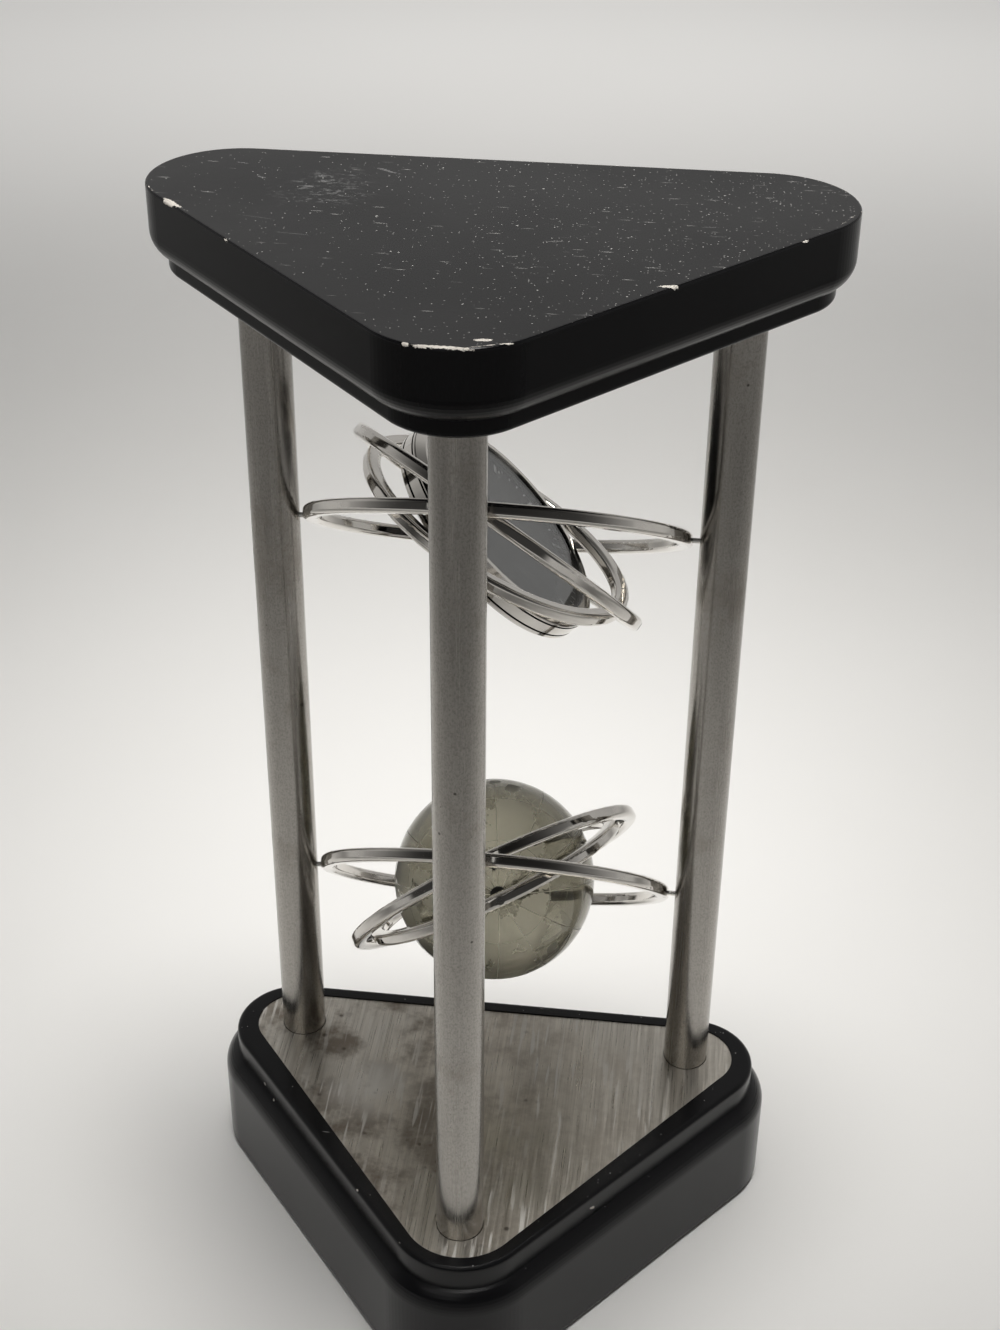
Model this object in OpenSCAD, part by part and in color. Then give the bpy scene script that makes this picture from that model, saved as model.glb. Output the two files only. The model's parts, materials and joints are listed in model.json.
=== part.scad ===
// Spinning desk clock: a clock and a hollow globe, each hung in nested rings between two rear columns.
// Both swing in three rings, and every pivot turns at right angles to the next.
// Millimetres, +Z up. The origin lies on the rest face, in the plane of symmetry.

/* [Clock] */
// Diameter of the clock case
case_d = 48.8; // [44:0.2:60]
// Width of the band round the clock case
case_band = 4.2; // [4:0.1:6]
// Thickness of the wall between the band and the dial chamber
case_wall = 2.6; // [2.5:0.1:3.5]
// Width of the ledge that carries the dial
dial_ledge = 2.2; // [1.5:0.1:3]
// Thickness of the dial
dial_t = 0.5; // [0.4:0.05:0.8]
// Thickness of the lens
lens_t = 0.7; // [0.5:0.1:1.2]
// Height of the bezel above the band
bezel_h = 1.1; // [1:0.1:1.8]
// Length of the hour hand from the centre
hour_len = 12; // [9:0.5:14]
// Length of the minute hand from the centre
minute_len = 17.5; // [14:0.5:19]
// Radius of the minute hand's arbor
arbor_r = 0.95; // [0.8:0.05:1.1]
// Wall of the hour hand's pipe
pipe_wall = 0.5; // [0.4:0.05:0.8]
// Thickness of the movement
movement_t = 2.9; // [2.8:0.1:3.4]
// Wall of the back cover
back_wall = 0.7; // [0.6:0.05:1]
// Diameter of the button cell
cell_d = 11.4; // [9:0.2:12]
// Thickness of the button cell
cell_t = 2.0; // [1.6:0.1:2.2]
// Diameter of the setting knob
knob_d = 5.4; // [4:0.2:7]
// Height of the setting knob
knob_h = 1.2; // [0.8:0.1:2]

/* [Rings] */
// Radial thickness of every ring
ring_t = 3; // [2:0.1:4]
// Width of every ring along its own axis
ring_w = 2.8; // [2:0.1:4]
// Radius of the rounded edges of every ring
ring_round = 0.9; // [0.4:0.05:1]
// Gap between one ring and the next
ring_gap = 1.2; // [1:0.1:2]
// Gap between the clock case and its inner ring
case_gap = 1.6; // [1.2:0.1:2.5]
// Gap between an outer ring and the columns
column_gap = 1.3; // [0.8:0.1:2.5]
// Diameter of the pivot pins
pin_d = 1; // [0.8:0.1:1.4]
// Diameter of the collar on a pivot pin
collar_d = 2; // [1.6:0.1:2.4]
// Depth of a pivot pin in the piece that turns on it
pin_engage = 2; // [1.5:0.1:2.3]
// Diameter of the sunk head of a pivot pin
head_d = 1.7; // [1.4:0.1:2]

/* [Globe] */
// Diameter of the globe
globe_d = 42.8; // [36:0.2:50]
// Wall of the globe
globe_wall = 1.6; // [1.2:0.1:2.5]
// Diameter of the bush at each pole of the globe
hub_d = 2.4; // [2.2:0.1:4]
// Length of the lap where the two halves of the globe meet
lap_len = 1.2; // [0.8:0.1:2]

/* [Columns] */
// Diameter of the columns
column_d = 9.5; // [8:0.5:13]
// Bore of the columns
column_bore = 5.6; // [5:0.1:6.5]
// Diameter of the tie rods inside the columns
rod_d = 4; // [3:0.5:4.5]
// Depth of the tie rods' ends in the top's slab
rod_grip = 6.5; // [4:0.5:8]
// Depth of the sockets that hold the ends of the columns
socket_depth = 4; // [2:0.5:5]
// Gap between the spinning rings and the front column
front_clear = 13; // [6:0.5:25]
// Gap between the base plate and the globe's outer ring
globe_clear = 8.4; // [4:0.2:20]
// Gap between the two outer rings
rings_clear = 10.9; // [4:0.1:20]
// Gap between the clock's outer ring and the top
clock_clear = 14.3; // [4:0.1:25]

/* [Base and top] */
// Height of the base
base_h = 31.3; // [25:0.1:45]
// Thickness of the top's main slab
slab_t = 13; // [9:0.1:18]
// Thickness of the step under the slab
step_t = 3.1; // [2.5:0.1:6]
// Radius of the rounded corners
corner_r = 16; // [13:0.5:20]
// Radius of the base's front corner
base_front_r = 18.5; // [14:0.5:22]
// Trim of the base's rear corners inside those of the top
base_trim = 0.7; // [0:0.1:2]
// Depth of the base behind the rear edge of the top
base_rear = 1.3; // [0:0.1:3]
// Overhang of the outline beyond the rear columns, sideways
side_overhang = 18.7; // [16:0.1:26]
// Overhang of the outline behind the rear columns
rear_overhang = 13.3; // [12.5:0.1:22]
// Overhang of the outline in front of the front column
front_overhang = 15.4; // [12.5:0.1:24]
// Inset of the step and of the base's rim from the outline
rim_inset = 3; // [2:0.1:4]
// Height of the base's rim above its shoulder
rim_h = 5.8; // [3:0.1:8]
// Radius of the shoulder on the base and under the slab
shoulder_r = 5; // [4:0.1:7]
// Radius of the smaller rounded edges
edge_r = 0.9; // [0.4:0.1:1.2]
// Radius of the upper edge of the top
crest_r = 0.5; // [0.2:0.1:1]
// Radius of the plate's rear corners
plate_r = 9; // [7:0.5:12]
// Radius of the plate's front corner
plate_front_r = 12.3; // [8:0.1:15]
// Overhang of the plate beside the rear columns
plate_side = 10.4; // [8:0.1:12]
// Overhang of the plate behind the rear columns
plate_rear = 8.5; // [7:0.1:9.5]
// Overhang of the plate in front of the front column
plate_front = 9.2; // [7.5:0.1:10.5]
// Thickness of the base plate
plate_t = 2; // [1:0.1:4]
// Drop of the base plate below the rim
plate_drop = 0.3; // [0.1:0.05:0.8]
// Thickness of the felt pad
pad_t = 1.6; // [1:0.1:3]
// Height of the felt pad below the base
pad_proud = 0.6; // [0.3:0.1:0.9]
// Margin of the felt pad inside the outline
pad_margin = 4; // [2:0.5:8]

/* [Pose] */
// Tilt of the clock's outer ring, front up
clock_outer_tilt = 33.6; // [-180:0.1:180]
// Tilt of the clock's middle ring, right side down
clock_middle_tilt = 31; // [-180:0.1:180]
// Tilt of the clock's inner ring, front down
clock_inner_tilt = 21; // [-180:0.1:180]
// Tilt of the clock, right side down
clock_tilt = 17.5; // [-180:0.1:180]
// Tilt of the globe's outer ring, front up
globe_outer_tilt = 44.4; // [-180:0.1:180]
// Tilt of the globe's middle ring, right side up
globe_middle_tilt = 30; // [-180:0.1:180]
// Tilt of the globe's inner ring, front down
globe_inner_tilt = 16.3; // [-180:0.1:180]
// Turn of the globe about its own pins
globe_turn = 25; // [-180:1:180]
// Turn of the hour hand from twelve
hour_turn = 305; // [0:1:360]
// Turn of the minute hand from twelve
minute_turn = 60; // [0:1:360]

/* [Hidden] */

$fn = 96;
// Number of flat faces in a whole turn of a blended corner
corner_fn = 108;
// Number of steps round one corner of a flat outline
corner_steps = 22;
// Number of steps in a small rounded edge, and in the shoulder
edge_steps = 4;
shoulder_steps = 8;

// Clearances
run_clear = 0.05;
fix_clear = 0.02;
seat_clear = 0.1;
turn_gap = 0.3;
// Overshoot of a cut past the face that it opens
cut = 1;

// Radii of the rings, alike for clock and globe, worked outwards from the clock case
case_r = case_d / 2;
inner_ring_r = case_r + case_gap + ring_t;
middle_ring_r = inner_ring_r + ring_gap + ring_t;
outer_ring_r = middle_ring_r + ring_gap + ring_t;
pin_r = pin_d / 2;
pin_recess = 0.15;
head_r = head_d / 2;
head_t = 0.6;
head_bore_r = head_r + seat_clear;
head_bore = pin_recess + head_t + fix_clear;

// Column positions
rear_x = outer_ring_r + column_gap + column_d / 2;
row_depth = outer_ring_r + front_clear + column_d / 2;
rear_y = row_depth / 3;
front_y = rear_y - row_depth;
left_column = [-rear_x, rear_y];
right_column = [rear_x, rear_y];
front_column = [0, front_y];
COLUMNS = [left_column, front_column, right_column];

// Heights
plate_top = base_h - plate_drop;
plate_bottom = plate_top - plate_t;
globe_z = plate_top + globe_clear + outer_ring_r;
clock_z = globe_z + 2 * outer_ring_r + rings_clear;
top_z = clock_z + outer_ring_r + clock_clear;
slab_z = top_z + step_t;
total_h = slab_z + slab_t;
clock_centre = [0, rear_y, clock_z];
globe_centre = [0, rear_y, globe_z];

// Outlines: the centres and the radii of three rounded corners, left, front and right
corner_x = rear_x + side_overhang - corner_r;
corner_rear_y = rear_y + rear_overhang - corner_r;
outline_front = front_y - front_overhang;
TOP_CORNERS = [[-corner_x, corner_rear_y], [0, outline_front + corner_r], [corner_x, corner_rear_y]];
TOP_RADII = [corner_r, corner_r, corner_r];
base_x = corner_x - base_trim;
base_rear_y = corner_rear_y + base_rear;
BASE_CORNERS = [[-base_x, base_rear_y], [0, outline_front + base_front_r], [base_x, base_rear_y]];
BASE_RADII = [corner_r, base_front_r, corner_r];
plate_x = rear_x + plate_side - plate_r;
plate_rear_y = rear_y + plate_rear - plate_r;
plate_front_y = front_y - plate_front + plate_front_r;
PLATE_CORNERS = [[-plate_x, plate_rear_y], [0, plate_front_y], [plate_x, plate_rear_y]];
PLATE_RADII = [plate_r, plate_front_r, plate_r];

// Tie rods and their nuts
rod_r = rod_d / 2;
rod_top = slab_z + rod_grip;
nut_flange_r = 1.25 * rod_d;
nut_flange_t = 0.3 * rod_d;
nut_hex_r = 0.9 * rod_d;
nut_h = rod_d;
nut_well = 1.8 * rod_d;
nut_well_r = nut_flange_r + turn_gap;
nut_seat = pad_t + nut_well;
nut_bottom = nut_seat - nut_flange_t - nut_h;
rod_bottom = nut_bottom - rod_d / 4;

// Levels inside the clock, from the pivot axis along the dial's normal
band_shift = 0.2;
band_front = case_band / 2 - band_shift;
band_back = band_front - case_band;
groove_w = 0.4;
groove_deep = 0.6;
groove_land = 0.45;
groove_off = pin_r + run_clear + groove_land;
chamber_r = case_r - case_wall;
ledge_r = chamber_r - dial_ledge;
dial_back = -turn_gap;
dial_front = dial_back + dial_t;
dial_r = chamber_r - seat_clear;
hand_t = 0.25;
hour_z = dial_front + turn_gap;
minute_z = hour_z + hand_t + turn_gap;
lens_seat = 0.8;
lens_r = chamber_r + lens_seat;
lens_z = band_front;
bezel_slope = 1.6;
bezel_lip = 0.4;
bezel_lip_r = chamber_r - bezel_lip;
bezel_step = 0.2;
bezel_r = case_r - bezel_step;
movement_gap = 1;
movement_r = ledge_r - movement_gap;
movement_back = dial_back - movement_t;
back_seat = 1.8;
back_r = ledge_r + back_seat;
back_flange = 0.7;
back_cap_r = movement_r + back_wall + seat_clear;
back_z = movement_back - seat_clear - back_wall;
pipe_r = arbor_r + run_clear + pipe_wall;
arbor_depth = 0.9;
arbor_back = dial_back - arbor_depth;
boss_lap = 0.6;
hour_w = 2.2;
minute_w = 1.6;
cell_r = cell_d / 2;
lid_lap = 0.8;
lid_r = cell_r + lid_lap;
cell_margin = 3.2;
cell_x = movement_r - lid_r - cell_margin;
knob_margin = 5.6;
knob_x = -movement_r + knob_d / 2 + knob_margin;
stem_r = 0.8;
stem_depth = 1;
knob_z = back_z - turn_gap;

// Levels along the globe's pins
globe_r = globe_d / 2;
hub_r = hub_d / 2;
hub_lap = 0.5;
hub_flange_r = hub_r + hub_lap;
hub_flange_t = 0.6;
hub_end = 0.8;
hub_seat = sqrt(globe_r * globe_r - hub_flange_r * hub_flange_r) - seat_clear;
hub_len = pin_engage + hub_flange_t + hub_end;
lap_r = globe_r - globe_wall / 2;

// Direction from one point to another, and the normal on its right
function unit(v) = v / norm(v);
function right_normal(p, q) = let (d = unit(q - p)) [d[1], -d[0]];

// Angle that a round of radius r turns through from an upright wall until it has come in by inset
function round_span(r, inset) = acos((r - inset) / r);

// Points of a round of radius r about c, from angle a to angle b
function arc(c, r, a, b, steps) =
    [for (k = [0:steps]) let (t = a + (b - a) * k / steps) c + r * [cos(t), sin(t)]];

// Direction in degrees that the side from the round corner p of radius r to the corner q of radius s faces
function side_angle(p, q, r, s) =
    let (n = right_normal(p, q)) atan2(n[1], n[0]) + asin((r - s) / norm(q - p));

// Points round the corner k of an outline, from the side that comes before it to the side that comes after
function corner_points(centres, radii, k) =
    let (a = (k + 2) % 3, c = (k + 1) % 3)
    let (start = side_angle(centres[a], centres[k], radii[a], radii[k]))
    let (end = side_angle(centres[k], centres[c], radii[k], radii[c]), turn = (end - start + 360) % 360)
    arc(centres[k], radii[k], start, start + turn, corner_steps);

// Flat outline with three rounded corners, given anticlockwise, that lies inset inside them
module rounded_triangle(centres, radii, inset) {
    inner = [for (r = radii) r - inset];
    polygon([for (k = [0:2]) each corner_points(centres, inner, k)]);
}

// Slab on three corners. Each of its two edges is a round: its radius, how far it comes in, and its steps
module corner_slab(centres, radii, inset, low, high, low_edge, high_edge) {
    low_span = round_span(low_edge[0], low_edge[1]);
    high_span = round_span(high_edge[0], high_edge[1]);
    hull() {
        for (k = [0:2]) {
            r = radii[k] - inset;
            low_c = [r - low_edge[0], low + low_edge[0] * sin(low_span)];
            high_c = [r - high_edge[0], high - high_edge[0] * sin(high_span)];
            translate(centres[k]) rotate_extrude($fn = corner_fn) polygon(concat(
                [[0, low]],
                arc(low_c, low_edge[0], -low_span, 0, low_edge[2]),
                arc(high_c, high_edge[0], 0, high_span, high_edge[2]),
                [[0, high]]
            ));
        }
    }
}

// Upright hole or rod at a plan position
module upright(at, r, low, high) {
    translate([at[0], at[1], low]) cylinder(r = r, h = high - low);
}

// Frames of the pieces that turn
module at_clock_outer() {
    translate(clock_centre) rotate([-clock_outer_tilt, 0, 0]) children();
}

module at_clock_middle() {
    at_clock_outer() rotate([0, clock_middle_tilt, 0]) children();
}

module at_clock_inner() {
    at_clock_middle() rotate([clock_inner_tilt, 0, 0]) children();
}

module at_clock() {
    at_clock_inner() rotate([0, clock_tilt, 0]) children();
}

module at_globe_outer() {
    translate(globe_centre) rotate([-globe_outer_tilt, 0, 0]) children();
}

module at_globe_middle() {
    at_globe_outer() rotate([0, -globe_middle_tilt, 0]) children();
}

module at_globe_inner() {
    at_globe_middle() rotate([globe_inner_tilt, 0, 0]) children();
}

module at_globe() {
    at_globe_inner() rotate([0, globe_turn, 0]) children();
}

// Turns a shape that points along Z so that it points along the angle a in the plane of a ring
module radial(a) {
    rotate([0, 0, a]) rotate([0, 90, 0]) children();
}

// Hole right across a ring along the angle a
module cross_hole(a, r, reach) {
    radial(a) cylinder(r = r, h = 2 * (reach + cut), center = true);
}

// Section of a ring whose outer radius is r, with four rounded edges
module ring_section(r) {
    inner = r - ring_t;
    half = ring_w / 2;
    b = ring_round;
    translate([inner + b, -half]) square([ring_t - 2 * b, ring_w]);
    translate([inner, b - half]) square([ring_t, ring_w - 2 * b]);
    for (x = [inner + b, r - b], z = [b - half, half - b]) {
        translate([x, z]) circle(r = b);
    }
}

// Ring about Z: it turns on pins at angle run_a and holds its own pins a quarter turn further
module ring(r, run_a) {
    color([0.8, 0.8, 0.82]) difference() {
        rotate_extrude() ring_section(r);
        cross_hole(run_a, pin_r + run_clear, r);
        cross_hole(run_a + 90, pin_r + fix_clear, r);
        for (a = [run_a + 90, run_a + 270]) {
            radial(a) translate([0, 0, r - head_bore]) cylinder(r = head_bore_r, h = head_bore + cut);
        }
    }
}

// Pin that is riveted in a ring at angle a and ends at pin_end: a sunk head outside, a collar inside
module collared_pin(r, a, pin_end, collar_l) {
    head_top = r - pin_recess;
    collar_start = r - ring_t - fix_clear - collar_l;
    color([0.7, 0.7, 0.72]) radial(a) {
        translate([0, 0, pin_end]) cylinder(r = pin_r, h = head_top - pin_end);
        translate([0, 0, collar_start]) cylinder(d = collar_d, h = collar_l);
        translate([0, 0, head_top - head_t]) cylinder(r = head_r, h = head_t);
    }
}

// Pin from a ring into the ring or case of radius next_r inside it
module ring_pin(r, a, next_r) {
    gap = r - ring_t - next_r;
    collared_pin(r, a, next_r - pin_engage, gap - fix_clear - turn_gap);
}

// Longer pin from the globe's inner ring into a bush of the globe
module globe_pin(a) {
    collared_pin(inner_ring_r, a, hub_seat + hub_flange_t - pin_engage, collar_d / 2);
}

// Rounds of the moulded edges: radius, how far they come in, and steps
small_edge = [edge_r, edge_r, edge_steps];
crest_edge = [crest_r, crest_r, edge_steps];
shoulder = [shoulder_r, rim_inset, shoulder_steps];

// Base: moulded block with a raised rim, a seat for the plate, and wells for nuts and felt below
module base_body() {
    color([0.05, 0.05, 0.06]) difference() {
        union() {
            corner_slab(BASE_CORNERS, BASE_RADII, 0, pad_proud, base_h - rim_h, small_edge, shoulder);
            corner_slab(BASE_CORNERS, BASE_RADII, rim_inset, base_h / 2, base_h, small_edge, small_edge);
        }
        translate([0, 0, plate_bottom])
            linear_extrude(plate_t + plate_drop + cut)
                rounded_triangle(PLATE_CORNERS, PLATE_RADII, -seat_clear);
        translate([0, 0, pad_proud - cut])
            linear_extrude(pad_t - pad_proud + cut)
                rounded_triangle(BASE_CORNERS, BASE_RADII, pad_margin - seat_clear);
        for (c = COLUMNS) {
            upright(c, column_d / 2 + seat_clear, plate_bottom - socket_depth, base_h);
            upright(c, rod_r + seat_clear, pad_t, base_h);
            upright(c, nut_well_r, pad_proud, nut_seat);
        }
    }
}

// Plate let into the base, with a hole for each column
module base_plate() {
    color([0.62, 0.6, 0.57]) difference() {
        translate([0, 0, plate_bottom])
            linear_extrude(plate_t) rounded_triangle(PLATE_CORNERS, PLATE_RADII, 0);
        for (c = COLUMNS) {
            upright(c, column_d / 2 + seat_clear, plate_bottom - cut, plate_top + cut);
        }
    }
}

// Felt that the clock rests on
module base_pad() {
    color([0.1, 0.1, 0.11])
        linear_extrude(pad_t) rounded_triangle(BASE_CORNERS, BASE_RADII, pad_margin);
}

// Top: slab with a shoulder below, over a smaller step, with a blind socket and a rod hole for each column
module top_body() {
    color([0.05, 0.05, 0.06]) difference() {
        union() {
            corner_slab(TOP_CORNERS, TOP_RADII, 0, slab_z, total_h, shoulder, crest_edge);
            corner_slab(TOP_CORNERS, TOP_RADII, rim_inset, top_z, slab_z + slab_t / 2,
                        small_edge, small_edge);
        }
        for (c = COLUMNS) {
            upright(c, column_d / 2 + seat_clear, top_z - cut, top_z + socket_depth);
            upright(c, rod_r + fix_clear, top_z, rod_top);
        }
    }
}

// Tube between base and top
module column(at) {
    upright_bottom = plate_bottom - socket_depth;
    upright_top = top_z + socket_depth;
    color([0.6, 0.58, 0.55]) difference() {
        upright(at, column_d / 2, upright_bottom, upright_top);
        upright(at, column_bore / 2, upright_bottom - cut, upright_top + cut);
        children();
    }
}

// Holes through the inner wall of a rear column for the pivot pins
module pivot_holes(side) {
    for (z = [globe_z, clock_z]) {
        translate([0, rear_y, z]) radial(side > 0 ? 0 : 180)
            translate([0, 0, outer_ring_r]) cylinder(r = pin_r + fix_clear, h = rear_x - outer_ring_r);
    }
}

module column_left() {
    column(left_column) pivot_holes(-1);
}

module column_right() {
    column(right_column) pivot_holes(1);
}

module column_front() {
    column(front_column);
}

// Rod that ties the base, a column and the top together
module tie_rod(at) {
    color([0.55, 0.55, 0.57]) upright(at, rod_r, rod_bottom, rod_top);
}

module tie_rod_left() {
    tie_rod(left_column);
}

module tie_rod_right() {
    tie_rod(right_column);
}

module tie_rod_front() {
    tie_rod(front_column);
}

// Flanged nut in its well under the base
module rod_nut(at) {
    color([0.7, 0.68, 0.6]) difference() {
        union() {
            upright(at, nut_flange_r, nut_seat - nut_flange_t, nut_seat);
            translate([at[0], at[1], nut_bottom])
                cylinder(r = nut_hex_r, h = nut_h + nut_flange_t / 2, $fn = 6);
        }
        upright(at, rod_r + fix_clear, nut_bottom - cut, nut_seat + cut);
    }
}

module rod_nut_left() {
    rod_nut(left_column);
}

module rod_nut_right() {
    rod_nut(right_column);
}

module rod_nut_front() {
    rod_nut(front_column);
}

// Pin that is fixed in the wall of a rear column and carries an outer ring
module column_pivot(centre, side) {
    pin_end = rear_x - column_bore / 2 - pin_recess;
    pin_start = outer_ring_r - pin_engage;
    color([0.7, 0.7, 0.72]) translate(centre) radial(side > 0 ? 0 : 180)
        translate([0, 0, pin_start]) cylinder(r = pin_r, h = pin_end - pin_start);
}

module clock_pivot_left() {
    column_pivot(clock_centre, -1);
}

module clock_pivot_right() {
    column_pivot(clock_centre, 1);
}

module globe_pivot_left() {
    column_pivot(globe_centre, -1);
}

module globe_pivot_right() {
    column_pivot(globe_centre, 1);
}

// Rings and pins that carry the clock
module clock_outer_ring() {
    at_clock_outer() ring(outer_ring_r, 0);
}

module clock_outer_pin_front() {
    at_clock_outer() ring_pin(outer_ring_r, 270, middle_ring_r);
}

module clock_outer_pin_rear() {
    at_clock_outer() ring_pin(outer_ring_r, 90, middle_ring_r);
}

module clock_middle_ring() {
    at_clock_middle() ring(middle_ring_r, 90);
}

module clock_middle_pin_left() {
    at_clock_middle() ring_pin(middle_ring_r, 180, inner_ring_r);
}

module clock_middle_pin_right() {
    at_clock_middle() ring_pin(middle_ring_r, 0, inner_ring_r);
}

module clock_inner_ring() {
    at_clock_inner() ring(inner_ring_r, 0);
}

module clock_inner_pin_front() {
    at_clock_inner() ring_pin(inner_ring_r, 270, case_r);
}

module clock_inner_pin_rear() {
    at_clock_inner() ring_pin(inner_ring_r, 90, case_r);
}

// Clock case: grooved band with a ledge for the dial and a seat for the back cover
module clock_case() {
    g = groove_off;
    deep = case_r - groove_deep;
    band_edge = 0.3;
    color([0.78, 0.78, 0.8]) at_clock() difference() {
        rotate_extrude() polygon([
            [case_r - band_edge, band_front], [case_r, band_front - band_edge],
            [case_r, g + groove_w], [deep, g + groove_w], [deep, g], [case_r, g],
            [case_r, -g], [deep, -g], [deep, -g - groove_w], [case_r, -g - groove_w],
            [case_r, band_back + band_edge], [case_r - band_edge, band_back],
            [back_r + seat_clear, band_back], [back_r + seat_clear, band_back + back_flange],
            [ledge_r, band_back + back_flange], [ledge_r, dial_back],
            [chamber_r, dial_back], [chamber_r, band_front]
        ]);
        for (a = [90, 270]) {
            radial(a) translate([0, 0, case_r - pin_engage - turn_gap])
                cylinder(r = pin_r + run_clear, h = pin_engage + cut);
        }
    }
}

// Sloped bezel that holds the lens down on the case
module clock_bezel() {
    color([0.8, 0.8, 0.82]) at_clock() rotate_extrude() polygon([
        [lens_r + fix_clear, lens_z], [bezel_r, lens_z], [bezel_r - bezel_slope, lens_z + bezel_h],
        [bezel_lip_r, lens_z + bezel_h], [bezel_lip_r, lens_z + lens_t], [lens_r + fix_clear, lens_z + lens_t]
    ]);
}

module clock_lens() {
    color([0.8, 0.85, 0.9, 0.35]) at_clock() translate([0, 0, lens_z]) cylinder(r = lens_r, h = lens_t);
}

// Dial with twelve raised hour marks, and a hole for the hands' pipe
module clock_dial() {
    mark_h = 0.12;
    mark_r = dial_r - 3.6;
    mark_l = 2.4;
    mark_w = 0.7;
    color([0.35, 0.36, 0.38]) at_clock() difference() {
        union() {
            translate([0, 0, dial_back]) cylinder(r = dial_r, h = dial_t);
            for (k = [0:11]) {
                rotate([0, 0, 30 * k]) translate([mark_r, -mark_w / 2, dial_back])
                    cube([mark_l, mark_w, dial_t + mark_h]);
            }
        }
        translate([0, 0, dial_back - cut]) cylinder(r = pipe_r + turn_gap, h = dial_t + 2 * cut);
    }
}

// Movement under the dial: bores for the hour pipe and the setting stem, and a pocket for the cell
module clock_movement() {
    color([0.12, 0.12, 0.13]) at_clock() difference() {
        translate([0, 0, movement_back]) cylinder(r = movement_r, h = movement_t);
        translate([0, 0, arbor_back - turn_gap]) cylinder(r = pipe_r + run_clear, h = movement_t);
        translate([cell_x, 0, movement_back - cut]) cylinder(r = cell_r + seat_clear, h = cell_t + cut);
        translate([knob_x, 0, movement_back - cut])
            cylinder(r = stem_r + run_clear, h = stem_depth + turn_gap + cut);
    }
}

module clock_cell() {
    rim = 0.3;
    color([0.75, 0.75, 0.75]) at_clock() translate([cell_x, 0, movement_back]) rotate_extrude() polygon([
        [0, 0], [cell_r - rim, 0], [cell_r, rim], [cell_r, cell_t - seat_clear], [0, cell_t - seat_clear]
    ]);
}

// Shallow back cover with an opening for the cell and a hole for the setting stem
module clock_back() {
    lip = band_back + back_flange;
    inside = back_cap_r - back_wall;
    color([0.7, 0.7, 0.72]) at_clock() difference() {
        rotate_extrude() polygon([
            [0, back_z], [back_cap_r - back_wall, back_z], [back_cap_r, back_z + back_wall],
            [back_cap_r, band_back], [back_r, band_back], [back_r, lip],
            [inside, lip], [inside, back_z + back_wall], [0, back_z + back_wall]
        ]);
        translate([cell_x, 0, back_z - cut]) cylinder(r = lid_r + seat_clear, h = back_wall + 2 * cut);
        translate([knob_x, 0, back_z - cut]) cylinder(r = stem_r + turn_gap, h = back_wall + 2 * cut);
    }
}

// Round lid over the cell, with a coin slot
module cell_lid() {
    slot_w = 1;
    slot_deep = 0.35;
    color([0.7, 0.7, 0.72]) at_clock() translate([cell_x, 0, back_z]) difference() {
        cylinder(r = lid_r, h = back_wall);
        translate([-cell_r, -slot_w / 2, -cut]) cube([2 * cell_r, slot_w, slot_deep + cut]);
    }
}

// Blade of a hand along Y: widest at a third of its length, with a short tail
module hand_blade(length, width) {
    tail = 0.22 * length;
    linear_extrude(hand_t) polygon([
        [-width / 3, -tail], [width / 3, -tail],
        [width / 2, length / 3], [0, length], [-width / 2, length / 3]
    ]);
}

// Hour hand with the pipe that turns in the movement
module hour_hand() {
    color([0.85, 0.85, 0.85]) at_clock() rotate([0, 0, -hour_turn]) difference() {
        union() {
            translate([0, 0, hour_z]) hand_blade(hour_len, hour_w);
            translate([0, 0, hour_z]) cylinder(r = pipe_r + boss_lap, h = hand_t);
            translate([0, 0, arbor_back]) cylinder(r = pipe_r, h = hour_z + hand_t - arbor_back);
        }
        translate([0, 0, arbor_back - cut])
            cylinder(r = arbor_r + run_clear, h = hour_z + hand_t - arbor_back + 2 * cut);
    }
}

// Minute hand with the arbor that turns in the hour hand's pipe
module minute_hand() {
    color([0.85, 0.85, 0.85]) at_clock() rotate([0, 0, -minute_turn]) {
        translate([0, 0, minute_z]) hand_blade(minute_len, minute_w);
        translate([0, 0, minute_z]) cylinder(r = pipe_r, h = hand_t);
        translate([0, 0, arbor_back]) cylinder(r = arbor_r, h = minute_z - arbor_back + hand_t);
    }
}

// Fluted knob behind the clock that sets the hands
module setting_knob() {
    flutes = 18;
    flute_r = knob_d / 20;
    color([0.15, 0.15, 0.16]) at_clock() translate([knob_x, 0, 0]) {
        difference() {
            translate([0, 0, knob_z - knob_h]) cylinder(d = knob_d, h = knob_h);
            for (k = [0:flutes - 1]) {
                rotate([0, 0, k * 360 / flutes]) translate([knob_d / 2, 0, knob_z - knob_h - cut])
                    cylinder(r = flute_r, h = knob_h + 2 * cut, $fn = 16);
            }
        }
        translate([0, 0, knob_z]) cylinder(r = stem_r, h = movement_back + stem_depth - knob_z);
    }
}

// Rings and pins that carry the globe
module globe_outer_ring() {
    at_globe_outer() ring(outer_ring_r, 0);
}

module globe_outer_pin_front() {
    at_globe_outer() ring_pin(outer_ring_r, 270, middle_ring_r);
}

module globe_outer_pin_rear() {
    at_globe_outer() ring_pin(outer_ring_r, 90, middle_ring_r);
}

module globe_middle_ring() {
    at_globe_middle() ring(middle_ring_r, 90);
}

module globe_middle_pin_left() {
    at_globe_middle() ring_pin(middle_ring_r, 180, inner_ring_r);
}

module globe_middle_pin_right() {
    at_globe_middle() ring_pin(middle_ring_r, 0, inner_ring_r);
}

module globe_inner_ring() {
    at_globe_inner() ring(inner_ring_r, 0);
}

module globe_inner_pin_front() {
    at_globe_inner() globe_pin(270);
}

module globe_inner_pin_rear() {
    at_globe_inner() globe_pin(90);
}

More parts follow.
